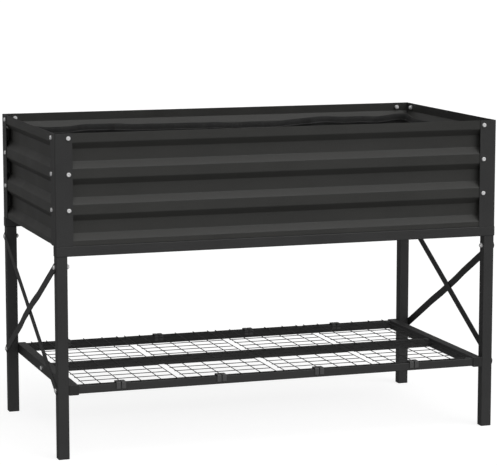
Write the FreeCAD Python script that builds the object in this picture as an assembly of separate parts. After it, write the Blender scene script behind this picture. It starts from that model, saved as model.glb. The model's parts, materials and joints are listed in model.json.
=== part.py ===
"""Raised planter: a ribbed sheet-metal box on four square legs, with end braces and a mesh shelf.

Millimetres. +X runs along the planter, +Y to its back, +Z up. The origin is on the floor,
under the middle of the planter.
"""
import FreeCAD
import Part
import math
import os

Vector = FreeCAD.Vector
Rotation = FreeCAD.Rotation
Placement = FreeCAD.Placement

# ---------------------------------------------------------------- driving dimensions
LENGTH = 1160.0            # over the corner brackets
DEPTH = 585.0
HEIGHT = 800.0             # floor to rim

TUBE = 25.0                # square tube of the bottom rails and the shelf's end rails
LEG_WIDTH = 28.0           # the legs' tube along X; along Y it is as wide as the other tubes
TUBE_WALL = 1.2
TUBE_CORNER = 2.0
RAIL = 20.0                # square tube of the long shelf rails
RAIL_WALL = 1.2
RAIL_CORNER = 1.6
LEG_INSET = 1.25           # the bottom rails stand this much proud of the legs
RAIL_BASE_Z = 501.0        # underside of the bottom rails
CLEARANCE = 0.2            # all round a piece that slides into or past another
LEAST_CORNER = 0.4         # smallest inside corner of a tube
TOLERANCE = 1e-6

SHEET = 0.8                # panel thickness
BRACKET_SHEET = 1.5
BRACKET_FLANGE = 44.0
BRACKET_BEND = 3.0         # centre-line radius

PANEL_GAP = 0.8            # between a panel's lower edge and the bottom rail
RIB_PITCH = 87.5           # from one rib to the next down a panel
RIB_COUNT = 3
RIB_FIRST_FLAT = 22.5      # flat strip below the rim
RIB_SLOPE = 16.0           # height of a sloping side
RIB_FLOOR = 31.0           # height of the recessed flat
RIB_DEPTH = 14.0
RIB_BEND = 4.0

CORNER_BOLT_EDGE = 34.0    # from the outside of the corner
CORNER_BOLT_DROP = 12.0    # first bolt, below the rim
CORNER_BOLT_PITCH = RIB_PITCH
CORNER_BOLT_COUNT = 3

BOLT_R = 3.0
BOLT_HOLE_R = 3.2
BOLT_HEAD_R = 5.25
BOLT_HEAD_H = 3.3
BOLT_HEAD_EDGE = 1.6       # rounding of the head
SOCKET_ACROSS = 4.0
SOCKET_DEPTH = 1.6
NUT_ACROSS = 10.0
NUT_H = 5.0
THREAD_R = 3.05            # bore of a nut or an insert
BOLT_TIP = 2.0             # thread that shows past a nut

BRACE_TOP_Z = 475.0
SHELF_Z = 171.0            # centre height of the shelf's rails and of the lower brace bolts
BRACE_WIDTH = 20.0
BRACE_SHEET = 2.5
BRACE_STEP = 2.8           # how far the outer brace bows out to pass the inner one
BRACE_STEP_RUN = 60.0      # length of each sloping part of the bow
BRACE_STEP_HALF = 55.0     # half of the bow's flat top
BRACE_BEND = 30.0

SPIGOT_LENGTH = 60.0
SPIGOT_WALL = 1.5
SPIGOT_CORNER = 1.0
PLUG_FLANGE = 3.0
PLUG_DEPTH = 18.0
PLUG_EDGE = 0.8
PLUG_STEM_WALL = 2.0
PLUG_STEM_CORNER = 1.0
PLUG_HOLLOW_CORNER = 0.5
PLUG_BOLT_GAP = 1.0        # between a plug's stem and a bolt that crosses its tube
RAIL_PLUG_FLANGE = 2.5
INSERT_LENGTH = 22.0
INSERT_CORNER = 0.6

WIRE_R = 1.0
WIRE_BITE = 0.2            # how far welded wires sink into each other
WIRE_STUB = 2.0            # wire past the last crossing
PANELS_IN_ROW = 4          # wire panels side by side, on the shelf and in the floor of the box
SHELF_PANEL_PITCH = 259.7
SHELF_PANEL_SHIFT = -3.4   # the row of panels lies slightly left of the middle
SHELF_LONG_WIRES = (-118.5, -77.0, -25.7, 25.7, 77.0, 118.5)   # front-to-back wires of a panel
SHELF_CROSS_SPAN = 562.0   # first to last wire along the shelf
SHELF_CROSS_COUNT = 14
SHELF_WIRE_OVERHANG = 5.5
CLIP_WIRE = 2              # each clip grips the third wire of its panel

FLOOR_PANEL_PITCH = 280.0
FLOOR_PANEL_SPAN = 268.0
FLOOR_LONG_COUNT = 7
FLOOR_CROSS_SPAN = 542.0
FLOOR_CROSS_COUNT = 14
FLOOR_WIRE_OVERHANG = 3.5
CROSSBAR_END_X = 517.5

CLIP_TAB = 10.5
CLIP_SLOT = 3.0
CLIP_SHEET = 1.8
CLIP_DROP = 13.5           # how far the clip reaches down a rail's sides
CLIP_BACK_SLOT = 3.0       # the slot goes this far below the rail's top at the back
CLIP_BEND = 1.6

LINER_SHEET = 1.2
LINER_TOP_Z = 772.0
LINER_GAP = 0.8            # between the liner and what it leans on

# ---------------------------------------------------------------- worked-out places
HALF_L = LENGTH / 2
HALF_D = DEPTH / 2
RAIL_TOP_Z = RAIL_BASE_Z + TUBE
BOX_HEIGHT = HEIGHT - RAIL_TOP_Z
LEG_X = HALF_L - LEG_INSET - LEG_WIDTH / 2
LEG_Y = HALF_D - LEG_INSET - TUBE / 2
LEG_FACE_X = HALF_L - LEG_INSET
END_RAIL_X = LEG_X - LEG_WIDTH / 2 - TUBE / 2
SHELF_HALF_L = END_RAIL_X - TUBE / 2
SHELF_TOP_Z = SHELF_Z + RAIL / 2
PANEL_FACE_X = HALF_L - BRACKET_SHEET
PANEL_FACE_Y = HALF_D - BRACKET_SHEET
INNER_X = PANEL_FACE_X - SHEET - RIB_DEPTH       # clear inside of the box, to the ribs
INNER_Y = PANEL_FACE_Y - SHEET - RIB_DEPTH
BOLT_HEIGHTS = [HEIGHT - CORNER_BOLT_DROP - i * CORNER_BOLT_PITCH for i in range(CORNER_BOLT_COUNT)]

# Each corner: its sign along X, its sign along Y, and the turn about Z from the front left one.
CORNERS = {
    "front_left": (-1, -1, 0.0),
    "front_right": (1, -1, 90.0),
    "back_right": (1, 1, 180.0),
    "back_left": (-1, 1, 270.0),
}
X_AXIS = Vector(1, 0, 0)
Y_AXIS = Vector(0, 1, 0)
Z_AXIS = Vector(0, 0, 1)
MIDDLE = Vector(0, 0, 0)

parts = {}


# ---------------------------------------------------------------- shape helpers
def put(name, *solids):
    """Keep a sub-part: one solid, or several alike."""
    parts[name] = solids[0] if len(solids) == 1 else Part.makeCompound(list(solids))


def moved(shape, x=0.0, y=0.0, z=0.0):
    copy = shape.copy()
    copy.translate(Vector(x, y, z))
    return copy


def turned(shape, axis, degrees):
    copy = shape.copy()
    copy.rotate(MIDDLE, axis, degrees)
    return copy


def mirrored_x(shape):
    return shape.mirror(MIDDLE, X_AXIS)


def rounded_rectangle(size_x, size_y, radius):
    """Face in the XY plane, centred, with round corners."""
    slant = radius * math.sqrt(0.5)
    edges = []
    for quarter in range(4):
        turn = Rotation(Z_AXIS, 90.0 * quarter)
        across, along_side = (size_x, size_y) if quarter % 2 == 0 else (size_y, size_x)
        flat_x = across / 2 - radius
        flat_y = along_side / 2 - radius
        side = [Vector(across / 2, -flat_y, 0), Vector(across / 2, flat_y, 0)]
        arc_mid = Vector(flat_x + slant, flat_y + slant, 0)
        arc_end = Vector(flat_x, along_side / 2, 0)
        start, end, mid, last = [turn.multVec(p) for p in side + [arc_mid, arc_end]]
        edges.append(Part.LineSegment(start, end).toShape())
        edges.append(Part.Arc(end, mid, last).toShape())
    return Part.Face(Part.Wire(edges))


def rounded_square(size, radius):
    return rounded_rectangle(size, size, radius)


def along(shape, axis):
    """Turn a shape that was made along +Z so that it runs along axis."""
    copy = shape.copy()
    copy.Placement = Placement(MIDDLE, Rotation(Z_AXIS, axis)).multiply(copy.Placement)
    return copy


def hollow_bar(size_x, size_y, wall, radius, length):
    """Rectangular tube along Z, centred on the origin."""
    outer = rounded_rectangle(size_x, size_y, radius).extrude(Z_AXIS * length)
    inner_radius = max(radius - wall, LEAST_CORNER)
    inner = rounded_rectangle(size_x - 2 * wall, size_y - 2 * wall, inner_radius).extrude(Z_AXIS * length)
    return moved(outer.cut(inner), z=-length / 2)


def square_tube(size, wall, radius, length, axis, centre):
    """Hollow square tube, centred on a point."""
    tube = hollow_bar(size, size, wall, radius, length)
    return moved(along(tube, axis), centre.x, centre.y, centre.z)


def drilled(shape, radius, start, direction, length):
    return shape.cut(Part.makeCylinder(radius, length, start, direction))


def strip_side(points, offset, radius):
    """Edges of one side of a strip, offset to the left of the centre line that follows points."""
    directions = [(b - a).normalize() for a, b in zip(points, points[1:])]
    normals = [Vector(-d.y, d.x, 0) for d in directions]
    edges = []
    last = points[0] + normals[0] * offset
    for i in range(1, len(points) - 1):
        before, after = directions[i - 1], directions[i]
        turn = math.atan2(before.cross(after).z, before.dot(after))
        bend = 1 if turn > 0 else -1
        setback = radius * math.tan(abs(turn) / 2)
        tangent = points[i] - before * setback
        centre = tangent + normals[i - 1] * (radius * bend)
        reach = radius - offset * bend
        arc_in = tangent + normals[i - 1] * offset
        arc_mid = centre - (normals[i - 1] + normals[i]).normalize() * (reach * bend)
        arc_out = points[i] + after * setback + normals[i] * offset
        edges.append(Part.LineSegment(last, arc_in).toShape())
        edges.append(Part.Arc(arc_in, arc_mid, arc_out).toShape())
        last = arc_out
    edges.append(Part.LineSegment(last, points[-1] + normals[-1] * offset).toShape())
    return edges


def bent_strip(points, thickness, radius):
    """Face in the XY plane: a strip of even thickness whose centre line follows points.

    Every inner point is a round bend with the given centre-line radius.
    """
    left = strip_side(points, thickness / 2, radius)
    right = strip_side(points, -thickness / 2, radius)
    caps = [Part.LineSegment(left[i].Vertexes[i].Point, right[i].Vertexes[i].Point).toShape()
            for i in (0, -1)]
    return Part.Face(Part.Wire(Part.__sortEdges__(left + right + caps)))


def extruded_along_x(section, length):
    """Solid along X, centred on x = 0: the section's x becomes Y and its y becomes Z."""
    solid = turned(section.extrude(Z_AXIS * length), Vector(1, 1, 1), 120.0)
    return moved(solid, x=-length / 2)


def hexagon_prism(across, height):
    corner = across / math.sqrt(3)
    points = [Vector(corner * math.cos(math.radians(60 * i)), corner * math.sin(math.radians(60 * i)), 0)
              for i in range(7)]
    return Part.Face(Part.makePolygon(points)).extrude(Z_AXIS * height)


# ---------------------------------------------------------------- fasteners
def make_bolt(shank):
    """Round-headed socket bolt along +Z; the head's underside is at z = 0, the shank goes up."""
    head = Part.makeCylinder(BOLT_HEAD_R, BOLT_HEAD_H, Vector(0, 0, -BOLT_HEAD_H))
    rim = [e for e in head.Edges
           if len(e.Vertexes) == 1 and abs(e.BoundBox.ZMax + BOLT_HEAD_H) < TOLERANCE]
    head = head.makeFillet(BOLT_HEAD_EDGE, rim)
    socket = moved(hexagon_prism(SOCKET_ACROSS, SOCKET_DEPTH), z=-BOLT_HEAD_H)
    return head.cut(socket).fuse(Part.makeCylinder(BOLT_R, shank)).removeSplitter()


def make_nut():
    """Hexagon nut along +Z, from z = 0."""
    nut = hexagon_prism(NUT_ACROSS, NUT_H)
    return nut.cut(Part.makeCylinder(THREAD_R, NUT_H))


def fastener_at(shape, seat, direction):
    return moved(along(shape, direction), seat.x, seat.y, seat.z)


# ---------------------------------------------------------------- legs and bottom frame
def leg_holes(shape, x, y):
    """The two brace bolts' holes, through both sides of a leg."""
    for height in (BRACE_TOP_Z, SHELF_Z):
        shape = drilled(shape, BOLT_HOLE_R, Vector(x - TUBE, y, height), X_AXIS, 2 * TUBE)
    return shape


def make_legs():
    length = RAIL_BASE_Z - PLUG_FLANGE
    for corner, (side_x, side_y, _) in CORNERS.items():
        x, y = side_x * LEG_X, side_y * LEG_Y
        leg = hollow_bar(LEG_WIDTH, TUBE, TUBE_WALL, TUBE_CORNER, length)
        leg = moved(leg, x, y, PLUG_FLANGE + length / 2)
        put("leg_" + corner, leg_holes(leg, x, y))


def push_in_plug(size_x, size_y, flange):
    """Tube plug along +Z: the flange lies below z = 0 and the stem goes up into the tube."""
    cap = moved(rounded_rectangle(size_x, size_y, TUBE_CORNER).extrude(Z_AXIS * flange), z=-flange)
    rim = [e for e in cap.Edges if abs(e.BoundBox.ZMax + flange) < TOLERANCE]
    cap = cap.makeChamfer(PLUG_EDGE, rim)
    shrink = 2 * TUBE_WALL + 2 * CLEARANCE
    stem = rounded_rectangle(size_x - shrink, size_y - shrink, PLUG_STEM_CORNER)
    shrink += 2 * PLUG_STEM_WALL
    hollow = rounded_rectangle(size_x - shrink, size_y - shrink, PLUG_HOLLOW_CORNER)
    stem = stem.extrude(Z_AXIS * PLUG_DEPTH).cut(hollow.extrude(Z_AXIS * PLUG_DEPTH))
    return cap.fuse(stem).removeSplitter()


def make_foot_plugs():
    plug = push_in_plug(LEG_WIDTH, TUBE, PLUG_FLANGE)
    for corner, (side_x, side_y, _) in CORNERS.items():
        put("foot_plug_" + corner, moved(plug, side_x * LEG_X, side_y * LEG_Y, PLUG_FLANGE))


def make_leg_spigots():
    """Short tubes under the bottom rails that the legs slide over; the upper bolts lock them."""
    shrink = 2 * TUBE_WALL + 2 * CLEARANCE
    for corner, (side_x, side_y, _) in CORNERS.items():
        x, y = side_x * LEG_X, side_y * LEG_Y
        spigot = hollow_bar(LEG_WIDTH - shrink, TUBE - shrink, SPIGOT_WALL, SPIGOT_CORNER, SPIGOT_LENGTH)
        spigot = moved(spigot, x, y, RAIL_BASE_Z - SPIGOT_LENGTH / 2)
        put("leg_spigot_" + corner, leg_holes(spigot, x, y))


def make_bottom_frame():
    rail_length = LENGTH - 2 * RAIL_PLUG_FLANGE
    rail_y = HALF_D - TUBE / 2
    rail_z = RAIL_BASE_Z + TUBE / 2
    for name, side in (("front", -1), ("back", 1)):
        centre = Vector(0, side * rail_y, rail_z)
        put("bottom_rail_" + name,
            square_tube(TUBE, TUBE_WALL, TUBE_CORNER, rail_length, X_AXIS, centre))
    plug = push_in_plug(TUBE, TUBE, RAIL_PLUG_FLANGE)
    ends = [(side_x, side_y) for side_x in (-1, 1) for side_y in (-1, 1)]
    put("bottom_rail_plugs", *[
        fastener_at(plug, Vector(sx * rail_length / 2, sy * rail_y, rail_z), X_AXIS * -sx)
        for sx, sy in ends])
    bar_length = DEPTH - 2 * TUBE
    bar_places = [-CROSSBAR_END_X, -FLOOR_PANEL_PITCH, 0.0, FLOOR_PANEL_PITCH, CROSSBAR_END_X]
    for number, x in enumerate(bar_places, 1):
        put("floor_crossbar_%d" % number,
            square_tube(TUBE, TUBE_WALL, TUBE_CORNER, bar_length, Y_AXIS, Vector(x, 0, rail_z)))


# ---------------------------------------------------------------- box
def rib_profile():
    """Centre line of a panel's section, from its bottom edge up: x is depth, y is height."""
    flat_x = SHEET / 2
    deep_x = flat_x + RIB_DEPTH
    points = [Vector(flat_x, BOX_HEIGHT, 0)]
    for rib in range(RIB_COUNT):
        top = BOX_HEIGHT - RIB_FIRST_FLAT - rib * RIB_PITCH
        floor_top = top - RIB_SLOPE
        floor_bottom = floor_top - RIB_FLOOR
        points.append(Vector(flat_x, top, 0))
        points.append(Vector(deep_x, floor_top, 0))
        points.append(Vector(deep_x, floor_bottom, 0))
        points.append(Vector(flat_x, floor_bottom - RIB_SLOPE, 0))
    points.append(Vector(flat_x, PANEL_GAP, 0))
    return points


def ribbed_panel(half_length, bolt_x):
    """Panel that faces -Y with its outer face at y = 0, over a rail whose top is z = 0, centred on X."""
    panel = extruded_along_x(bent_strip(rib_profile(), SHEET, RIB_BEND), 2 * half_length)
    for side in (-1, 1):
        for height in BOLT_HEIGHTS:
            start = Vector(side * bolt_x, -SHEET, height - RAIL_TOP_Z)
            panel = drilled(panel, BOLT_HOLE_R, start, Y_AXIS, 3 * SHEET)
    return panel


def make_panels():
    # The long panels stop short of the brackets' inner bends, and the end panels fit between them.
    long_panel = ribbed_panel(PANEL_FACE_X - BRACKET_BEND, HALF_L - CORNER_BOLT_EDGE)
    end_panel = ribbed_panel(INNER_Y - CLEARANCE, HALF_D - CORNER_BOLT_EDGE)
    put("front_panel", moved(long_panel, y=-PANEL_FACE_Y, z=RAIL_TOP_Z))
    put("back_panel", moved(turned(long_panel, Z_AXIS, 180), y=PANEL_FACE_Y, z=RAIL_TOP_Z))
    put("left_end_panel", moved(turned(end_panel, Z_AXIS, -90), x=-PANEL_FACE_X, z=RAIL_TOP_Z))
    put("right_end_panel", moved(turned(end_panel, Z_AXIS, 90), x=PANEL_FACE_X, z=RAIL_TOP_Z))


def make_corner_brackets():
    """Bent corner posts, welded on the ends of the bottom rails, outside the panels."""
    inset = BRACKET_SHEET / 2
    path = [Vector(BRACKET_FLANGE, inset, 0), Vector(inset, inset, 0), Vector(inset, BRACKET_FLANGE, 0)]
    bracket = bent_strip(path, BRACKET_SHEET, BRACKET_BEND).extrude(Z_AXIS * BOX_HEIGHT)
    reach = 4 * BRACKET_SHEET
    for height in BOLT_HEIGHTS:
        z = height - RAIL_TOP_Z
        bracket = drilled(bracket, BOLT_HOLE_R, Vector(CORNER_BOLT_EDGE, -reach / 2, z), Y_AXIS, reach)
        bracket = drilled(bracket, BOLT_HOLE_R, Vector(-reach / 2, CORNER_BOLT_EDGE, z), X_AXIS, reach)
    for corner, (side_x, side_y, turn) in CORNERS.items():
        put("corner_bracket_" + corner,
            moved(turned(bracket, Z_AXIS, turn), side_x * HALF_L, side_y * HALF_D, RAIL_TOP_Z))


def make_corner_fasteners():
    """Bolts from outside through bracket and panel, each with its nut inside the box."""
    grip = BRACKET_SHEET + SHEET
    bolt = make_bolt(grip + NUT_H + BOLT_TIP)
    nut = make_nut()
    bolts = []
    nuts = []
    for side_x, side_y, _ in CORNERS.values():
        for z in BOLT_HEIGHTS:
            on_long = Vector(side_x * (HALF_L - CORNER_BOLT_EDGE), side_y * HALF_D, z)
            on_end = Vector(side_x * HALF_L, side_y * (HALF_D - CORNER_BOLT_EDGE), z)
            for seat, inward in ((on_long, Y_AXIS * -side_y), (on_end, X_AXIS * -side_x)):
                bolts.append(fastener_at(bolt, seat, inward))
                nuts.append(fastener_at(nut, seat + inward * grip, inward))
    put("corner_bolts", *bolts)
    put("corner_nuts", *nuts)


def make_liner():
    """Open fabric tray inside the box."""
    base_z = RAIL_TOP_Z + 4 * WIRE_R - WIRE_BITE + LINER_GAP / 2
    half_x = INNER_X - LINER_GAP
    half_y = INNER_Y - LINER_GAP
    outer = Part.makeBox(2 * half_x, 2 * half_y, LINER_TOP_Z - base_z, Vector(-half_x, -half_y, base_z))
    hollow_x = half_x - LINER_SHEET
    hollow_y = half_y - LINER_SHEET
    hollow = Part.makeBox(2 * hollow_x, 2 * hollow_y, LINER_TOP_Z,
                          Vector(-hollow_x, -hollow_y, base_z + LINER_SHEET))
    put("liner", outer.cut(hollow))


# ---------------------------------------------------------------- braces
def make_brace(bow):
    """Flat bar from one bolt to the other: x along the bar, y across it, z away from the legs."""
    span = math.hypot(2 * LEG_Y, BRACE_TOP_Z - SHELF_Z)
    end = BRACE_WIDTH / 2
    middle = span / 2
    flat = BRACE_SHEET / 2
    path = [Vector(-end, flat, 0)]
    if bow:
        path += [Vector(middle - BRACE_STEP_HALF - BRACE_STEP_RUN, flat, 0),
                 Vector(middle - BRACE_STEP_HALF, flat + bow, 0),
                 Vector(middle + BRACE_STEP_HALF, flat + bow, 0),
                 Vector(middle + BRACE_STEP_HALF + BRACE_STEP_RUN, flat, 0)]
    path.append(Vector(span + end, flat, 0))
    bar = bent_strip(path, BRACE_SHEET, BRACE_BEND).extrude(Z_AXIS * BRACE_WIDTH)
    bar = moved(turned(bar, X_AXIS, 90), y=BRACE_WIDTH / 2)
    tall = 4 * BRACE_SHEET
    outline = Part.makeBox(span, BRACE_WIDTH, tall, Vector(0, -end, 0))
    for x in (0.0, span):
        outline = outline.fuse(Part.makeCylinder(end, tall, Vector(x, 0, 0)))
    bar = bar.common(outline)
    for x in (0.0, span):
        bar = drilled(bar, BOLT_HOLE_R, Vector(x, 0, -tall / 2), Z_AXIS, 2 * tall)
    return bar


def on_left_legs(brace, start_y, end_y):
    """Lay a brace on the left legs' outer faces, from a top bolt to a bottom bolt."""
    start = Vector(-LEG_FACE_X, start_y, BRACE_TOP_Z)
    end = Vector(-LEG_FACE_X, end_y, SHELF_Z)
    run = (end - start).normalize()
    outward = X_AXIS * -1
    laid = brace.copy()
    laid.Placement = Placement(start, Rotation(run, outward.cross(run), outward, "ZXY"))
    return laid


def make_braces():
    outer = on_left_legs(make_brace(BRACE_STEP), -LEG_Y, LEG_Y)
    inner = on_left_legs(make_brace(0.0), LEG_Y, -LEG_Y)
    put("left_brace_outer", outer)
    put("left_brace_inner", inner)
    put("right_brace_outer", mirrored_x(outer))
    put("right_brace_inner", mirrored_x(inner))


def make_brace_fasteners():
    """Upper bolts end in nuts on the legs' inner faces; lower bolts reach the shelf's long rails."""
    upper_grip = BRACE_SHEET + LEG_WIDTH
    upper = make_bolt(upper_grip + NUT_H + BOLT_TIP)
    lower = make_bolt(BRACE_SHEET + LEG_WIDTH + TUBE + INSERT_LENGTH - BOLT_TIP)
    nut = make_nut()
    upper_bolts = []
    upper_nuts = []
    lower_bolts = []
    for side_x, side_y, _ in CORNERS.values():
        inward = X_AXIS * -side_x
        seat_x = side_x * (LEG_FACE_X + BRACE_SHEET)
        top = Vector(seat_x, side_y * LEG_Y, BRACE_TOP_Z)
        upper_bolts.append(fastener_at(upper, top, inward))
        upper_nuts.append(fastener_at(nut, top + inward * upper_grip, inward))
        lower_bolts.append(fastener_at(lower, Vector(seat_x, side_y * LEG_Y, SHELF_Z), inward))
    put("upper_brace_bolts", *upper_bolts)
    put("upper_brace_nuts", *upper_nuts)
    put("lower_brace_bolts", *lower_bolts)


# ---------------------------------------------------------------- shelf
def make_shelf_end_rails():
    length = 2 * (LEG_Y + TUBE / 2 - RAIL_PLUG_FLANGE)
    for name, side in (("left", -1), ("right", 1)):
        x = side * END_RAIL_X
        rail = square_tube(TUBE, TUBE_WALL, TUBE_CORNER, length, Y_AXIS, Vector(x, 0, SHELF_Z))
        for y in (-LEG_Y, 0.0, LEG_Y):
            rail = drilled(rail, BOLT_HOLE_R, Vector(x - TUBE, y, SHELF_Z), X_AXIS, 2 * TUBE)
        put("shelf_end_rail_" + name, rail)
    plug = push_in_plug(TUBE, TUBE, RAIL_PLUG_FLANGE)
    # The plugs' stems stop short of the lower brace bolts, which cross the rails near their ends.
    stem_end = length / 2 - (LEG_Y + BOLT_R + PLUG_BOLT_GAP)
    short_plug = plug.common(moved(Part.makeBox(TUBE, TUBE, TUBE, Vector(-TUBE / 2, -TUBE / 2, 0)),
                                   z=stem_end - TUBE))
    put("shelf_end_rail_plugs", *[
        fastener_at(short_plug, Vector(sx * END_RAIL_X, sy * length / 2, SHELF_Z), Y_AXIS * -sy)
        for sx in (-1, 1) for sy in (-1, 1)])


def make_shelf_long_rails():
    insert_size = RAIL - 2 * RAIL_WALL - 2 * CLEARANCE
    insert = rounded_square(insert_size, INSERT_CORNER).extrude(Z_AXIS * INSERT_LENGTH)
    insert = insert.cut(Part.makeCylinder(THREAD_R, INSERT_LENGTH))
    inserts = []
    for name, y in (("front", -LEG_Y), ("middle", 0.0), ("back", LEG_Y)):
        put("shelf_rail_" + name,
            square_tube(RAIL, RAIL_WALL, RAIL_CORNER, 2 * SHELF_HALF_L, X_AXIS, Vector(0, y, SHELF_Z)))
        for side in (-1, 1):
            seat = Vector(side * SHELF_HALF_L, y, SHELF_Z)
            inserts.append(fastener_at(insert, seat, X_AXIS * -side))
    put("shelf_rail_inserts", *inserts)
    bolt = make_bolt(TUBE + INSERT_LENGTH - BOLT_TIP)
    put("middle_rail_bolts", *[
        fastener_at(bolt, Vector(side * (END_RAIL_X + TUBE / 2), 0, SHELF_Z), X_AXIS * -side)
        for side in (-1, 1)])


def evenly(span, count):
    return [-span / 2 + span * i / (count - 1) for i in range(count)]


def wire_panel(long_xs, cross_ys, overhang):
    """Welded wire panel that lies on z = 0: wires along X below, wires along Y on top."""
    half_x = max(long_xs) + WIRE_STUB
    half_y = max(cross_ys) + overhang
    low_z = WIRE_R
    high_z = 3 * WIRE_R - WIRE_BITE
    wires = [Part.makeCylinder(WIRE_R, 2 * half_x, Vector(-half_x, y, low_z), X_AXIS) for y in cross_ys]
    wires += [Part.makeCylinder(WIRE_R, 2 * half_y, Vector(x, -half_y, high_z), Y_AXIS) for x in long_xs]
    return wires[0].multiFuse(wires[1:])


def panel_places(pitch, shift=0.0):
    return [shift + pitch * (i - (PANELS_IN_ROW - 1) / 2) for i in range(PANELS_IN_ROW)]


def make_wire_panels():
    shelf = wire_panel(SHELF_LONG_WIRES, evenly(SHELF_CROSS_SPAN, SHELF_CROSS_COUNT), SHELF_WIRE_OVERHANG)
    floor = wire_panel(evenly(FLOOR_PANEL_SPAN, FLOOR_LONG_COUNT),
                       evenly(FLOOR_CROSS_SPAN, FLOOR_CROSS_COUNT), FLOOR_WIRE_OVERHANG)
    for number, x in enumerate(panel_places(SHELF_PANEL_PITCH, SHELF_PANEL_SHIFT), 1):
        put("shelf_mesh_%d" % number, moved(shelf, x=x, z=SHELF_TOP_Z))
    for number, x in enumerate(panel_places(FLOOR_PANEL_PITCH), 1):
        put("floor_mesh_%d" % number, moved(floor, x=x, z=RAIL_TOP_Z))


def make_clip():
    """Clip over a shelf rail: two tabs in front, joined at the back, straddle one wire."""
    half_sheet = CLIP_SHEET / 2
    front_y = -RAIL / 2 - CLEARANCE - half_sheet
    top_z = RAIL / 2 + 2 * WIRE_R + CLEARANCE + half_sheet
    bottom_z = RAIL / 2 - CLIP_DROP
    path = [Vector(front_y, bottom_z, 0), Vector(front_y, top_z, 0),
            Vector(-front_y, top_z, 0), Vector(-front_y, bottom_z, 0)]
    width = 2 * CLIP_TAB + CLIP_SLOT
    clip = extruded_along_x(bent_strip(path, CLIP_SHEET, CLIP_BEND), width)
    front_slot = Part.makeBox(CLIP_SLOT, RAIL, 2 * RAIL, Vector(-CLIP_SLOT / 2, -RAIL, -RAIL))
    slot_floor = RAIL / 2 - CLIP_BACK_SLOT
    top_slot = Part.makeBox(CLIP_SLOT, 2 * RAIL, RAIL, Vector(-CLIP_SLOT / 2, -RAIL, slot_floor))
    return clip.cut(front_slot).cut(top_slot)


def make_clips():
    clip = make_clip()
    clips = []
    for panel_x in panel_places(SHELF_PANEL_PITCH, SHELF_PANEL_SHIFT):
        x = panel_x + SHELF_LONG_WIRES[CLIP_WIRE]
        clips += [moved(clip, x, side * LEG_Y, SHELF_Z) for side in (-1, 1)]
    put("mesh_clips", *clips)


# ---------------------------------------------------------------- build
def main():
    make_legs()
    make_foot_plugs()
    make_leg_spigots()
    make_bottom_frame()
    make_panels()
    make_corner_brackets()
    make_corner_fasteners()
    make_liner()
    make_braces()
    make_brace_fasteners()
    make_shelf_end_rails()
    make_shelf_long_rails()
    make_wire_panels()
    make_clips()
    os.makedirs("parts", exist_ok=True)
    for name, shape in parts.items():
        shape.exportStep("parts/%s.step" % name)
    print("%d sub-parts" % len(parts))


main()
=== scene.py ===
import json
import math

import bmesh
import bpy
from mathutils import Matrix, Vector, noise


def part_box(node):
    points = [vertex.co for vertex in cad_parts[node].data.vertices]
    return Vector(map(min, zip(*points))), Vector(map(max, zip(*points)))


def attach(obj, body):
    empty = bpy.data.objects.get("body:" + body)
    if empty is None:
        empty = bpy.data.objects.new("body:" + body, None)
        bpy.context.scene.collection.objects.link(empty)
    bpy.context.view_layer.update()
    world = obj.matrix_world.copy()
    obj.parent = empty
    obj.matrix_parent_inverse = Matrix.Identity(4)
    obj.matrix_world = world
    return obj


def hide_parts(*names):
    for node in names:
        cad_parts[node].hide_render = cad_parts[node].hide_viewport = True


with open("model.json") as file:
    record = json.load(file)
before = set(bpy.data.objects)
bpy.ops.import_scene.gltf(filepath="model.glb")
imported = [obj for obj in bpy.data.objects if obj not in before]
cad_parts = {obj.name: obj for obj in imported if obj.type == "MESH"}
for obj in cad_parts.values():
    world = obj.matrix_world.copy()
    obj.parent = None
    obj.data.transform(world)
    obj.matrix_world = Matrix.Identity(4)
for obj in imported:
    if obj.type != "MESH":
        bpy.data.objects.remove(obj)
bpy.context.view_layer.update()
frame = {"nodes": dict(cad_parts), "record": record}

NODES = frame["nodes"]
MM = 0.001

# ---------------------------------------------------------------- camera and light
VIEW_AZIMUTH = 18.7            # degrees that the camera looks to the right of +Y
VIEW_ELEVATION = 8.136         # degrees that it looks down
VIEW_DISTANCE = 5.66
VIEW_LENS_MM = 156.3
VIEW_AIM = Vector((0.009, 0.0, 0.4956))
FLOOR_RADIUS = 70.0
FLOOR_SIDES = 96
FLOOR_GLOW = 0.83
BACKDROP_LEVEL = 0.94          # what shows beyond the floor
WIDE = 0.50                    # cosine of a soft light's half width
NARROW = 0.85
# Where each soft light stands, how wide it is and how bright its middle is.
SOFT_LIGHTS = (
    ((0.0, -0.50, 0.87), NARROW, 1.55),
    ((0.50, -0.60, 0.62), NARROW, 2.00),
    ((-0.50, -0.60, 0.62), NARROW, 0.40),
    ((0.0, -0.10, 0.99), NARROW, 0.62),
    ((0.0, -1.0, 0.0), WIDE, 0.20),
    ((-1.0, 0.0, 0.0), WIDE, 0.44),
    ((1.0, 0.0, 0.0), WIDE, 0.31),
    ((0.0, -0.77, -0.64), WIDE, 0.38),
    ((0.64, 0.0, 0.77), WIDE, 0.10),
    ((0.0, 0.77, 0.64), WIDE, 0.24),
    ((0.0, 1.0, 0.0), WIDE, 0.12),
)

# ---------------------------------------------------------------- finishes
# A level is a grey from 0, black, to 1, white. A spread is the share by which it strays either way.
PANEL_PAINT = 0.035
PANEL_WARMTH = 0.07            # share of blue that the panels' paint lacks
FRAME_PAINT = 0.034
BRACE_PAINT = 0.033
WIRE_PAINT = 0.022
PLUG_PLASTIC = 0.022
CLIP_PLASTIC = 0.085
INSERT_PLASTIC = 0.012
ZINC = 0.94

NOISE_LOW, NOISE_HIGH = 0.3, 0.7       # most of a noise field lies between these
EDGE_FLAT, EDGE_SHARP = 0.99, 0.80     # cosines between a face's normal and the rounded one
EDGE_SAMPLES = 4
MIX_FACTOR, MIX_FIRST, MIX_SECOND, MIX_RESULT = 0, 6, 7, 2     # a colour mix node's sockets

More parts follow.
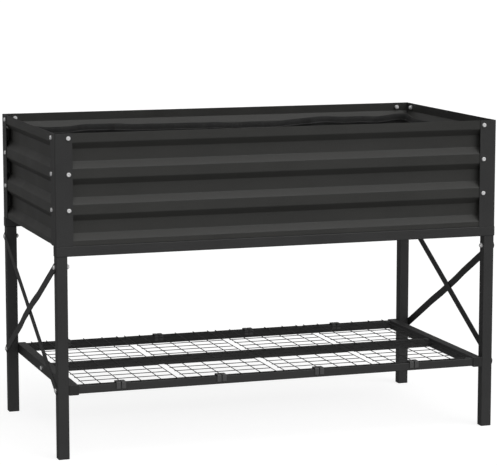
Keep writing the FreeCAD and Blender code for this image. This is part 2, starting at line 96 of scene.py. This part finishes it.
COAT_GRAIN = 0.9 * MM
COAT_WIRE_GRAIN = 0.5 * MM
COAT_PEEL_SIZE = 2.4           # of the grain
COAT_PEEL_HEIGHT = 0.45 * MM
COAT_FINE_SIZE = 0.45          # of the grain
COAT_FINE_HEIGHT = 0.14 * MM
COAT_CLOUD = 110.0 * MM        # width of the slow changes in tone and gloss
COAT_SPREAD = 0.12
COAT_GLOSS_SPREAD = 0.06
COAT_MARKS = 50.0 * MM         # width of the marks that handling leaves
COAT_MARKS_STRETCH = (1.0, 1.0, 7.0)
COAT_HIGHLIGHT_WIDTH = 0.7 * MM           # a painted edge highlight, paler than the paint, reaches this far from a sharp edge
COAT_HIGHLIGHT_SHARE = 0.35
COAT_HIGHLIGHT_LEVEL = 1.7          # grey of the painted edge highlight, as a share of the paint's level
COAT_SPECK_SHARE = 0.45
COAT_SPECK_LEVEL = 1.35        # of the paint's level
COAT_IOR = 1.48

MOULD_GRAIN = 0.35 * MM
MOULD_HEIGHT = 0.10 * MM
MOULD_FLOW = 9.0 * MM
MOULD_FLOW_STRETCH = (1.0, 1.0, 0.35)
MOULD_SPREAD = 0.08
# A painted highlight along the plastic's sharp edges: how far it reaches and how strong it is.
MOULD_HIGHLIGHT_WIDTH = 0.5 * MM
MOULD_HIGHLIGHT_SHARE = 0.3
MOULD_HIGHLIGHT_LEVEL = 1.5         # grey of the painted edge highlight, as a share of the plastic's level
MOULD_IOR = 1.5

ZINC_CLOUD = 1.6 * MM
ZINC_SPREAD = 0.03
ZINC_METALLIC = 0.2
ZINC_SCUFF = 0.35 * MM
ZINC_SCUFF_STRETCH = (1.0, 1.0, 5.0)
ZINC_SCUFF_HEIGHT = 0.02 * MM

FELT_TANGLE = 1.1 * MM
FELT_TANGLE_HEIGHT = 0.5 * MM
FELT_FIBRE = 2.2 * MM
FELT_FIBRE_STRETCHES = ((1.0, 5.0, 1.0), (5.0, 1.0, 2.0))     # fibres that lie along X, and along Y
FELT_CLUMP = 13.0 * MM
FELT_CLUMP_HEIGHT = 1.0 * MM
FELT_DARK, FELT_MID, FELT_LIGHT = 0.014, 0.026, 0.042     # levels of its clumps and its loops
FELT_LINT = 0.11
FELT_LINT_SHARE = 0.6
FELT_LOOP_SHARE = 0.7
THREAD_TWIST = 0.8 * MM
THREAD_STRETCH = (1.0, 1.0, 1.6)
THREAD_HEIGHT = 0.15 * MM
THREAD_DARK, THREAD_LIGHT = 0.10, 0.24

PAPER_CLOUD = 0.35
PAPER_DARK, PAPER_LIGHT = 0.34, 0.36

# ---------------------------------------------------------------- liner
LINER_CELL = 8.0 * MM          # from one vertex of the felt to the next
FELT = 1.8 * MM                # thickness
FELT_GAP = 0.3 * MM
CORNER_RADIUS = 14.0 * MM      # the tray's upright corners
FOOT_RADIUS = 13.0 * MM        # round its bottom
FOOT_STEPS = 4
HEM = 20.0 * MM
HEM_STEP = 1.2 * MM            # how much thicker the folded hem is
HEM_START = 0.8 * MM           # the hem is at its full thickness this far above its lower edge
HEM_STITCHES = 4.0 * MM        # height of its stitches above its lower edge
HEM_LEVELS = (HEM_START, HEM_STITCHES, HEM / 2, HEM)
CORNER_STITCHES = 2            # columns of cells from a corner to the stitches beside its seam
STITCH = 3.4 * MM
STITCH_PITCH = 5.2 * MM
STITCH_SIDES = 6
# Stations along a stitch: share of its length, share of its thickness, and height above the felt
# as a share of the thread's half thickness.
STITCH_SHAPE = ((0.0, 0.25, -0.6), (0.2, 1.0, 0.4), (0.8, 1.0, 0.4), (1.0, 0.25, -0.6))
THREAD = 0.45 * MM             # half thickness

FOLD_LINES = (-0.28, 0.0, 0.28)    # creases across the felt, from how it was folded for packing
CREASE = 17.0 * MM             # half width of a crease
LONG_CREASE_SHARE = 0.8        # the crease along the tray is this strong beside those across it
FINE = Vector((5.0, 3.0, 0.0))     # moves a wave to another part of the noise
COARSE = Vector((0.0, 4.0, 7.0))

# Each wave below: its reach on the felt, then the width, or width and height, of its features.
FLOOR_PUCKER, FLOOR_PUCKER_SIZE = 14.0 * MM, 0.17
FLOOR_WRINKLE, FLOOR_WRINKLE_SIZE = 6.0 * MM, 0.06
FLOOR_CREASE, FLOOR_CREASE_CHANGE, FLOOR_CREASE_SIZE = 5.0 * MM, 3.0 * MM, 0.10
FLOOR_FLAT = 60.0 * MM         # puckers fade out this near the floor's edge
TOP_SAG = 6.0 * MM
TOP_WAVE, TOP_WAVE_SIZE = 10.0 * MM, 0.23
TOP_RIPPLE, TOP_RIPPLE_SIZE = 4.0 * MM, 0.07
LEAN, LEAN_CHANGE, LEAN_SIZE = 7.0 * MM, 17.0 * MM, (0.21, 0.50)
LEAN_AT_FOOT = 0.25            # share of its value at the top
PLEAT, PLEAT_SIZE = 8.0 * MM, (0.055, 0.30)
PLEAT_AT_FOOT = 0.3
SLUMP, SLUMP_SIZE = 11.0 * MM, (0.10, 0.035)
SLUMP_HEIGHT = 0.18            # of the wall
SLUMP_LEAST = 0.6
WALL_CREASE = 4.0 * MM
FOOT_STIFF = 0.12              # share of the wall over which its folds set in
SEAM_REACH = 90.0 * MM         # a corner seam stiffens the walls this far
SEAM_STIFFNESS = 0.85


# ---------------------------------------------------------------- node helpers
def new_material(name):
    """An empty node material with its shader already joined to the output."""
    material = bpy.data.materials.new(name)
    material.use_nodes = True
    tree = material.node_tree
    tree.nodes.clear()
    output = tree.nodes.new("ShaderNodeOutputMaterial")
    shader = tree.nodes.new("ShaderNodeBsdfPrincipled")
    tree.links.new(shader.outputs["BSDF"], output.inputs["Surface"])
    return material, tree, shader


def place(tree):
    """Coordinates in metres in the row frame, because every node's object sits at the origin."""
    return tree.nodes.new("ShaderNodeTexCoord").outputs["Object"]


def stretched(tree, vector, scale):
    mapping = tree.nodes.new("ShaderNodeMapping")
    mapping.inputs["Scale"].default_value = scale
    tree.links.new(vector, mapping.inputs["Vector"])
    return mapping.outputs["Vector"]


def noise_field(tree, vector, size, detail=2.0, roughness=0.5):
    """Noise from 0 to 1 whose features are about size metres wide."""
    node = tree.nodes.new("ShaderNodeTexNoise")
    node.inputs["Scale"].default_value = 1.0 / size
    node.inputs["Detail"].default_value = detail
    node.inputs["Roughness"].default_value = roughness
    tree.links.new(vector, node.inputs["Vector"])
    return node.outputs["Fac"]


def remap(tree, value, low, high, to_low, to_high):
    node = tree.nodes.new("ShaderNodeMapRange")
    node.inputs["From Min"].default_value = low
    node.inputs["From Max"].default_value = high
    node.inputs["To Min"].default_value = to_low
    node.inputs["To Max"].default_value = to_high
    tree.links.new(value, node.inputs["Value"])
    return node.outputs["Result"]


def fitted(tree, field, to_low, to_high):
    """A noise field whose usual range is brought to the one given."""
    return remap(tree, field, NOISE_LOW, NOISE_HIGH, to_low, to_high)


def math_node(tree, operation, first, second):
    node = tree.nodes.new("ShaderNodeMath")
    node.operation = operation
    for socket, value in zip(node.inputs, (first, second)):
        if isinstance(value, (int, float)):
            socket.default_value = value
        else:
            tree.links.new(value, socket)
    return node.outputs["Value"]


def blend_colour(tree, factor, first, second):
    node = tree.nodes.new("ShaderNodeMix")
    node.data_type = "RGBA"
    for place_in_node, value in ((MIX_FACTOR, factor), (MIX_FIRST, first), (MIX_SECOND, second)):
        socket = node.inputs[place_in_node]
        if isinstance(value, (tuple, float)):
            socket.default_value = value
        else:
            tree.links.new(value, socket)
    return node.outputs[MIX_RESULT]


def bump(tree, height, distance, strength, normal=None):
    node = tree.nodes.new("ShaderNodeBump")
    node.inputs["Strength"].default_value = strength
    node.inputs["Distance"].default_value = distance
    tree.links.new(height, node.inputs["Height"])
    if normal is not None:
        tree.links.new(normal, node.inputs["Normal"])
    return node.outputs["Normal"]


def edge_mask(tree, radius):
    """1 along sharp edges, within about radius metres of them, and 0 elsewhere."""
    rounded = tree.nodes.new("ShaderNodeBevel")
    rounded.samples = EDGE_SAMPLES
    rounded.inputs["Radius"].default_value = radius
    flat = tree.nodes.new("ShaderNodeNewGeometry")
    dot = tree.nodes.new("ShaderNodeVectorMath")
    dot.operation = "DOT_PRODUCT"
    tree.links.new(rounded.outputs["Normal"], dot.inputs[0])
    tree.links.new(flat.outputs["Normal"], dot.inputs[1])
    return remap(tree, dot.outputs["Value"], EDGE_FLAT, EDGE_SHARP, 0.0, 1.0)


def grey(level, warmth=0.0):
    """A grey; warmth is the share of blue that it lacks."""
    return (level, level, level * (1.0 - warmth), 1.0)


def mottled(tree, field, level, spread, warmth=0.0):
    """A grey that strays from its level as a noise field goes."""
    darker = grey(level * (1.0 - spread), warmth)
    lighter = grey(level * (1.0 + spread), warmth)
    return blend_colour(tree, fitted(tree, field, 0.0, 1.0), darker, lighter)


# ---------------------------------------------------------------- materials
def powder_coat(name, level, roughness=0.5, warmth=0.0, grain=COAT_GRAIN):
    """Satin powder coat: orange peel, a fine grain, soft handling marks and a painted highlight along its
    sharp edges.
    """
    material, tree, shader = new_material(name)
    at = place(tree)
    peel = noise_field(tree, at, grain * COAT_PEEL_SIZE, detail=1.0)
    fine = noise_field(tree, at, grain * COAT_FINE_SIZE)
    cloud = noise_field(tree, at, COAT_CLOUD, detail=3.0, roughness=0.6)
    rubbed = noise_field(tree, stretched(tree, at, COAT_MARKS_STRETCH), COAT_MARKS, detail=5.0, roughness=0.7)
    tint = mottled(tree, cloud, level, COAT_SPREAD, warmth)
    # Painted highlight: sharp edges are painted paler than the paint.
    edges = math_node(tree, "MULTIPLY", edge_mask(tree, COAT_HIGHLIGHT_WIDTH), COAT_HIGHLIGHT_SHARE)
    tint = blend_colour(tree, edges, tint, grey(level * COAT_HIGHLIGHT_LEVEL, warmth))
    specks = remap(tree, fine, low=0.40, high=0.72, to_low=0.0, to_high=COAT_SPECK_SHARE)
    tint = blend_colour(tree, specks, tint, grey(level * COAT_SPECK_LEVEL, warmth))
    tree.links.new(tint, shader.inputs["Base Color"])
    rough = remap(tree, cloud, low=0.25, high=0.75,
                  to_low=roughness - COAT_GLOSS_SPREAD, to_high=roughness + COAT_GLOSS_SPREAD)
    marks = remap(tree, rubbed, low=0.58, high=0.78, to_low=0.0, to_high=COAT_GLOSS_SPREAD)
    tree.links.new(math_node(tree, "SUBTRACT", rough, marks), shader.inputs["Roughness"])
    shader.inputs["IOR"].default_value = COAT_IOR
    normal = bump(tree, peel, COAT_PEEL_HEIGHT, strength=0.9)
    normal = bump(tree, fine, COAT_FINE_HEIGHT, strength=0.8, normal=normal)
    tree.links.new(normal, shader.inputs["Normal"])
    return material


def moulded_plastic(name, level, roughness=0.55):
    """Moulded plastic with a spark-eroded texture, faint flow marks and a painted highlight along its sharp
    edges.
    """
    material, tree, shader = new_material(name)
    at = place(tree)
    pits = noise_field(tree, at, MOULD_GRAIN, detail=3.0, roughness=0.65)
    flow = noise_field(tree, stretched(tree, at, MOULD_FLOW_STRETCH), MOULD_FLOW, detail=3.0)
    tint = mottled(tree, flow, level, MOULD_SPREAD)
    # Painted highlight: sharp edges are painted paler than the plastic.
    edges = math_node(tree, "MULTIPLY", edge_mask(tree, MOULD_HIGHLIGHT_WIDTH), MOULD_HIGHLIGHT_SHARE)
    tint = blend_colour(tree, edges, tint, grey(level * MOULD_HIGHLIGHT_LEVEL))
    tree.links.new(tint, shader.inputs["Base Color"])
    rough = fitted(tree, pits, to_low=roughness - 0.06, to_high=roughness + 0.08)
    tree.links.new(rough, shader.inputs["Roughness"])
    shader.inputs["IOR"].default_value = MOULD_IOR
    tree.links.new(bump(tree, pits, MOULD_HEIGHT, strength=0.8), shader.inputs["Normal"])
    return material


def plated_steel(name, level):
    """Bright zinc plate: pale metal with fine tumbling marks and cloudy patches."""
    material, tree, shader = new_material(name)
    at = place(tree)
    cloud = noise_field(tree, at, ZINC_CLOUD, detail=3.0, roughness=0.6)
    scuffs = noise_field(tree, stretched(tree, at, ZINC_SCUFF_STRETCH), ZINC_SCUFF, detail=4.0, roughness=0.7)
    tree.links.new(mottled(tree, cloud, level, ZINC_SPREAD), shader.inputs["Base Color"])
    shader.inputs["Metallic"].default_value = ZINC_METALLIC
    tree.links.new(fitted(tree, scuffs, to_low=0.40, to_high=0.56), shader.inputs["Roughness"])
    tree.links.new(bump(tree, scuffs, ZINC_SCUFF_HEIGHT, strength=0.35), shader.inputs["Normal"])
    return material


def felt(name):
    """Black needled felt: tangled fibres, pale lint and a soft fuzz."""
    material, tree, shader = new_material(name)
    at = place(tree)
    tangle = noise_field(tree, at, FELT_TANGLE, detail=4.0, roughness=0.7)
    clumps = noise_field(tree, at, FELT_CLUMP, detail=3.0, roughness=0.6)
    fibres = [noise_field(tree, stretched(tree, at, stretch), FELT_FIBRE, detail=3.0, roughness=0.6)
              for stretch in FELT_FIBRE_STRETCHES]
    lint = remap(tree, math_node(tree, "MAXIMUM", *fibres),
                 low=0.60, high=0.74, to_low=0.0, to_high=FELT_LINT_SHARE)
    loops = remap(tree, tangle, low=0.35, high=0.7, to_low=0.0, to_high=FELT_LOOP_SHARE)
    tint = blend_colour(tree, fitted(tree, clumps, 0.0, 1.0), grey(FELT_DARK), grey(FELT_MID))
    tint = blend_colour(tree, loops, tint, grey(FELT_LIGHT))
    tint = blend_colour(tree, lint, tint, grey(FELT_LINT, warmth=0.05))
    tree.links.new(tint, shader.inputs["Base Color"])
    tree.links.new(fitted(tree, tangle, to_low=0.86, to_high=1.0), shader.inputs["Roughness"])
    shader.inputs["Specular IOR Level"].default_value = 0.15
    shader.inputs["Sheen Weight"].default_value = 0.12
    shader.inputs["Sheen Roughness"].default_value = 0.6
    normal = bump(tree, tangle, FELT_TANGLE_HEIGHT, strength=0.8)
    normal = bump(tree, clumps, FELT_CLUMP_HEIGHT, strength=0.5, normal=normal)
    tree.links.new(normal, shader.inputs["Normal"])
    return material


def sewing_thread(name):
    """Grey twisted thread."""
    material, tree, shader = new_material(name)
    twist = noise_field(tree, stretched(tree, place(tree), THREAD_STRETCH), THREAD_TWIST, detail=3.0)
    tint = blend_colour(tree, twist, grey(THREAD_DARK), grey(THREAD_LIGHT))
    tree.links.new(tint, shader.inputs["Base Color"])
    shader.inputs["Roughness"].default_value = 0.6
    tree.links.new(bump(tree, twist, THREAD_HEIGHT, strength=0.6), shader.inputs["Normal"])
    return material


def make_materials():
    return {
        "panel_paint": powder_coat("panel_powder_coat", PANEL_PAINT, warmth=PANEL_WARMTH),
        "frame_paint": powder_coat("frame_powder_coat", FRAME_PAINT),
        "brace_paint": powder_coat("brace_powder_coat", BRACE_PAINT),
        "wire_paint": powder_coat("wire_powder_coat", WIRE_PAINT, roughness=0.52, grain=COAT_WIRE_GRAIN),
        "plug_plastic": moulded_plastic("plug_moulding", PLUG_PLASTIC),
        "clip_plastic": moulded_plastic("clip_moulding", CLIP_PLASTIC, roughness=0.45),
        "insert_plastic": moulded_plastic("insert_moulding", INSERT_PLASTIC),
        "bolt_steel": plated_steel("zinc_plate", ZINC),
        "liner_fabric": felt("liner_felt"),
    }


def finish_cad_nodes(materials):
    """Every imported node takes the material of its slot."""
    for row in frame["record"]["subparts"]:
        mesh = NODES[row["node"]].data
        mesh.materials.clear()
        mesh.materials.append(materials[row["material_slot"]])


# ---------------------------------------------------------------- stage
def make_floor():
    """Pale paper: it glows a little, so that the object's soft shadow on it stays light."""
    mesh = bpy.data.meshes.new("floor")
    floor = bpy.data.objects.new("floor", mesh)
    bpy.context.scene.collection.objects.link(floor)
    surface = bmesh.new()
    bmesh.ops.create_circle(surface, cap_ends=True, segments=FLOOR_SIDES, radius=FLOOR_RADIUS)
    surface.to_mesh(mesh)
    surface.free()
    material, tree, shader = new_material("floor_paper")
    paper = noise_field(tree, place(tree), PAPER_CLOUD)
    tint = blend_colour(tree, paper, grey(PAPER_DARK), grey(PAPER_LIGHT))
    tree.links.new(tint, shader.inputs["Base Color"])
    shader.inputs["Roughness"].default_value = 0.9
    shader.inputs["Specular IOR Level"].default_value = 0.0
    shader.inputs["Emission Color"].default_value = grey(1.0)
    shader.inputs["Emission Strength"].default_value = FLOOR_GLOW
    mesh.materials.append(material)
    floor.visible_diffuse = False
    floor.visible_glossy = False
    floor.visible_shadow = False


def soft_light(tree, towards, edge, strength):
    """Light from one part of the room: strength in the middle, nothing beyond the edge's cosine."""
    facing = tree.nodes.new("ShaderNodeVectorMath")
    facing.operation = "DOT_PRODUCT"
    facing.inputs[1].default_value = Vector(towards).normalized()
    around = tree.nodes.new("ShaderNodeTexCoord").outputs["Generated"]
    tree.links.new(around, facing.inputs[0])
    return remap(tree, facing.outputs["Value"], edge, 1.0, 0.0, strength)


def make_lights():
    """A dark room with large soft lights; only the camera sees the white backdrop."""
    world = bpy.data.worlds.new("studio")
    world.use_nodes = True
    tree = world.node_tree
    room = tree.nodes["Background"]
    room.inputs["Color"].default_value = grey(1.0)
    total = None
    for light in SOFT_LIGHTS:
        glow = soft_light(tree, *light)
        total = glow if total is None else math_node(tree, "ADD", total, glow)
    tree.links.new(total, room.inputs["Strength"])
    backdrop = tree.nodes.new("ShaderNodeBackground")
    backdrop.inputs["Strength"].default_value = BACKDROP_LEVEL
    seen = tree.nodes.new("ShaderNodeLightPath")
    mix = tree.nodes.new("ShaderNodeMixShader")
    tree.links.new(seen.outputs["Is Camera Ray"], mix.inputs["Fac"])
    tree.links.new(room.outputs["Background"], mix.inputs[1])
    tree.links.new(backdrop.outputs["Background"], mix.inputs[2])
    tree.links.new(mix.outputs["Shader"], tree.nodes["World Output"].inputs["Surface"])
    bpy.context.scene.world = world


def make_camera():
    azimuth = math.radians(VIEW_AZIMUTH)
    elevation = math.radians(VIEW_ELEVATION)
    level = math.cos(elevation)
    ahead = Vector((math.sin(azimuth) * level, math.cos(azimuth) * level, -math.sin(elevation)))
    data = bpy.data.cameras.new("view")
    data.lens = VIEW_LENS_MM
    data.clip_end = 2 * FLOOR_RADIUS
    camera = bpy.data.objects.new("view", data)
    camera.location = VIEW_AIM - ahead * VIEW_DISTANCE
    camera.rotation_euler = ahead.to_track_quat("-Z", "Y").to_euler()
    bpy.context.scene.collection.objects.link(camera)
    bpy.context.scene.camera = camera


# ---------------------------------------------------------------- felt liner
def wave(point, across, up=None):
    """Smooth noise, about -0.6 to 0.6, whose features are across metres wide and up metres tall."""
    return noise.noise(Vector((point.x / across, point.y / across, point.z / (up or across))))


def smooth(share):
    """0 to 1 as share goes from 0 to 1, level at both ends."""
    share = min(max(share, 0.0), 1.0)
    return share * share * (3.0 - 2.0 * share)


def ridge(distance, width):
    """1 on a line, falling smoothly to 0 at width away from it."""
    return smooth(1.0 - abs(distance) / width)


def crease(point):
    """How near a point is to a packing fold."""
    across = [ridge(point.x - x, CREASE) for x in FOLD_LINES]
    return max(across + [LONG_CREASE_SHARE * ridge(point.y, CREASE)])


def rising(at_foot, share):
    """A value that is 1 at the top of a wall and at_foot at its bottom."""
    return at_foot + (1.0 - at_foot) * share


class Tray:
    """Shape of the liner: a floor, a round foot, and walls that lean on the panels' ribs."""

    def __init__(self):
        low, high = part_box("liner")
        inset = FELT / 2 + FELT_GAP + FOOT_RADIUS
        self.flat = Vector((high[0] - inset, high[1] - inset))
        self.floor_z = low[2] + FELT / 2
        self.top_z = high[2] - FELT_GAP
        self.columns = round(2 * self.flat.x / LINER_CELL)
        self.rows = round(2 * self.flat.y / LINER_CELL)

    def core(self, plan):
        """Nearest point to plan that lies inside all four corners' arcs."""
        reach = self.flat - Vector((CORNER_RADIUS, CORNER_RADIUS))
        return Vector((min(max(plan.x, -reach.x), reach.x), min(max(plan.y, -reach.y), reach.y)))

    def outward(self, plan):
        return (plan - self.core(plan)).normalized()

    def plan_of(self, column, row):
        """Where a vertex of the floor's grid lies, with the corners of the plan drawn in to arcs."""
        plan = Vector(((2 * column / self.columns - 1) * self.flat.x, (2 * row / self.rows - 1) * self.flat.y))
        off = plan - self.core(plan)
        if off.length > 0.0:
            plan = self.core(plan) + off * (max(abs(off.x), abs(off.y)) / off.length)
        return plan

    def seam(self, plan):
        """1 at an upright corner seam, falling to 0 away from it."""
        to_corner = Vector((abs(plan.x), abs(plan.y))) - self.flat
        return ridge(to_corner.length, SEAM_REACH)

    def floor_point(self, plan):
        at = Vector((plan.x, plan.y, 0.0))
        edge = min(self.flat.x - abs(plan.x), self.flat.y - abs(plan.y))
        lift = FLOOR_PUCKER * max(0.0, wave(at, FLOOR_PUCKER_SIZE))
        lift += FLOOR_WRINKLE * max(0.0, wave(at + FINE, FLOOR_WRINKLE_SIZE))
        lift += crease(at) * (FLOOR_CREASE + FLOOR_CREASE_CHANGE * wave(at, FLOOR_CREASE_SIZE))
        lift = max(0.0, lift) * smooth(edge / FLOOR_FLAT)
        return Vector((plan.x, plan.y, self.floor_z + lift))

    def foot_point(self, plan, angle):
        out = self.outward(plan) * (FOOT_RADIUS * math.sin(angle))
        return Vector((plan.x + out.x, plan.y + out.y, self.floor_z + FOOT_RADIUS * (1.0 - math.cos(angle))))

    def wall_top(self, plan):
        at = Vector((plan.x, plan.y, 0.0))
        sag = TOP_SAG + TOP_WAVE * wave(at, TOP_WAVE_SIZE) + TOP_RIPPLE * wave(at, TOP_RIPPLE_SIZE)
        return self.top_z - (1.0 - self.seam(plan)) * max(0.0, sag)

    def slack(self, at, share):
        """How far a wall without seams would lean into the tray."""
        lean = rising(LEAN_AT_FOOT, share) * (LEAN + LEAN_CHANGE * wave(at, *LEAN_SIZE))
        pleats = rising(PLEAT_AT_FOOT, share) * PLEAT * wave(at + FINE, *PLEAT_SIZE)
        bulge = SLUMP_LEAST + wave(at + COARSE, *SLUMP_SIZE)
        slump = SLUMP * ridge(share - SLUMP_HEIGHT, SLUMP_HEIGHT) * bulge
        return lean + pleats + slump + WALL_CREASE * crease(at)

    def wall_point(self, plan, share, above=0.0, thicker=0.0):
        """Point on a wall: share is 0 at the foot and 1 at the hem's lower edge, above is in the hem."""
        start = self.floor_z + FOOT_RADIUS
        z = start + share * (self.wall_top(plan) - HEM - start) + above
        free = (1.0 - SEAM_STIFFNESS * self.seam(plan)) * smooth(share / FOOT_STIFF)
        inward = max(0.0, self.slack(Vector((plan.x, plan.y, z)), share) * free)
        out = self.outward(plan) * (FOOT_RADIUS - inward - thicker)
        return Vector((plan.x + out.x, plan.y + out.y, z))

    def rings(self, plans):
        """Every ring of points above the floor, from the foot to the top of the hem."""
        for step in range(1, FOOT_STEPS + 1):
            angle = math.radians(90.0) * step / FOOT_STEPS
            yield [self.foot_point(plan, angle) for plan in plans]
        count = round((self.top_z - self.floor_z - FOOT_RADIUS - HEM) / LINER_CELL)
        for step in range(1, count + 1):
            yield [self.wall_point(plan, step / count) for plan in plans]
        for above in HEM_LEVELS:
            yield [self.wall_point(plan, 1.0, above, HEM_STEP) for plan in plans]

    def border(self):
        """Grid places round the floor's edge, anticlockwise from the front left corner."""
        front = [(i, 0) for i in range(self.columns)]
        right = [(self.columns, j) for j in range(self.rows)]
        back = [(i, self.rows) for i in range(self.columns, 0, -1)]
        left = [(0, j) for j in range(self.rows, 0, -1)]
        return front + right + back + left


def mesh_object(name, surface, material):
    mesh = bpy.data.meshes.new(name)
    surface.to_mesh(mesh)
    surface.free()
    mesh.materials.append(material)
    mesh.polygons.foreach_set("use_smooth", [True] * len(mesh.polygons))
    piece = bpy.data.objects.new(name, mesh)
    bpy.context.scene.collection.objects.link(piece)
    return piece


def make_felt(tray, rings, material):
    """The tray's cloth: a grid for its floor, and the rings of its foot and walls round that."""
    surface = bmesh.new()
    grid = {}
    for column in range(tray.columns + 1):
        for row in range(tray.rows + 1):
            grid[column, row] = surface.verts.new(tray.floor_point(tray.plan_of(column, row)))
    for column in range(tray.columns):
        for row in range(tray.rows):
            corners = ((column, row), (column + 1, row), (column + 1, row + 1), (column, row + 1))
            surface.faces.new([grid[corner] for corner in corners])
    below = [grid[cell] for cell in tray.border()]
    for points in rings:
        above = [surface.verts.new(point) for point in points]
        for k in range(len(below)):
            surface.faces.new((below[k], below[k - 1], above[k - 1], above[k]))
        below = above
    bmesh.ops.recalc_face_normals(surface, faces=surface.faces)
    piece = mesh_object("felt_liner", surface, material)
    cloth = piece.modifiers.new("thickness", "SOLIDIFY")
    cloth.thickness = FELT
    cloth.offset = 0.0
    return piece


def add_stitch(surface, start, end, inward):
    """One short thread: round in section, sunk into the felt at both ends."""
    run = (end - start).normalized()
    side = run.cross(inward).normalized()
    angles = [math.tau * k / STITCH_SIDES for k in range(STITCH_SIDES)]
    spokes = [side * math.cos(angle) + inward * math.sin(angle) for angle in angles]
    loops = []
    for share, width, height in STITCH_SHAPE:
        centre = start.lerp(end, share) + inward * (FELT / 2 + height * THREAD)
        loops.append([surface.verts.new(centre + spoke * (THREAD * width)) for spoke in spokes])
    for low, high in zip(loops, loops[1:]):
        for k in range(STITCH_SIDES):
            surface.faces.new((low[k - 1], low[k], high[k], high[k - 1]))
    surface.faces.new(loops[0][::-1])
    surface.faces.new(loops[-1])


def stitch_line(surface, points, inwards):
    """Stitches at even steps along a line of points that lies on the felt."""
    wait = 0.0
    for start, end, inward in zip(points, points[1:], inwards):
        length = (end - start).length
        while wait < length:
            first = start.lerp(end, wait / length)
            add_stitch(surface, first, first + (end - start) * (STITCH / length), inward)
            wait += STITCH_PITCH
        wait -= length


def make_stitches(tray, plans, rings):
    """Thread along the hem, and up both sides of each corner seam."""
    surface = bmesh.new()
    inwards = [Vector((*(-tray.outward(plan)), 0.0)) for plan in plans]
    hem_line = rings[HEM_LEVELS.index(HEM_STITCHES) - len(HEM_LEVELS)]
    stitch_line(surface, hem_line + hem_line[:1], inwards)
    walls = rings[FOOT_STEPS:-len(HEM_LEVELS)]
    corners = (0, tray.columns, tray.columns + tray.rows, 2 * tray.columns + tray.rows)
    for corner in corners:
        for side in (-CORNER_STITCHES, CORNER_STITCHES):
            k = (corner + side) % len(plans)
            stitch_line(surface, [ring[k] for ring in walls], [inwards[k]] * len(walls))
    bmesh.ops.recalc_face_normals(surface, faces=surface.faces)
    return mesh_object("liner_stitches", surface, sewing_thread("liner_thread"))


def make_liner(material):
    """A sewn felt tray, empty, leaning on the ribs and a little slack at its top edge."""
    tray = Tray()
    plans = [tray.plan_of(*cell) for cell in tray.border()]
    rings = list(tray.rings(plans))
    liner = make_felt(tray, rings, material)
    stitches = make_stitches(tray, plans, rings)
    for piece in (liner, stitches):
        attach(piece, "root")
    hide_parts("liner")


# ---------------------------------------------------------------- build
bpy.context.scene.view_settings.view_transform = "Standard"
make_camera()
make_lights()
make_floor()
materials = make_materials()
finish_cad_nodes(materials)
make_liner(materials["liner_fabric"])
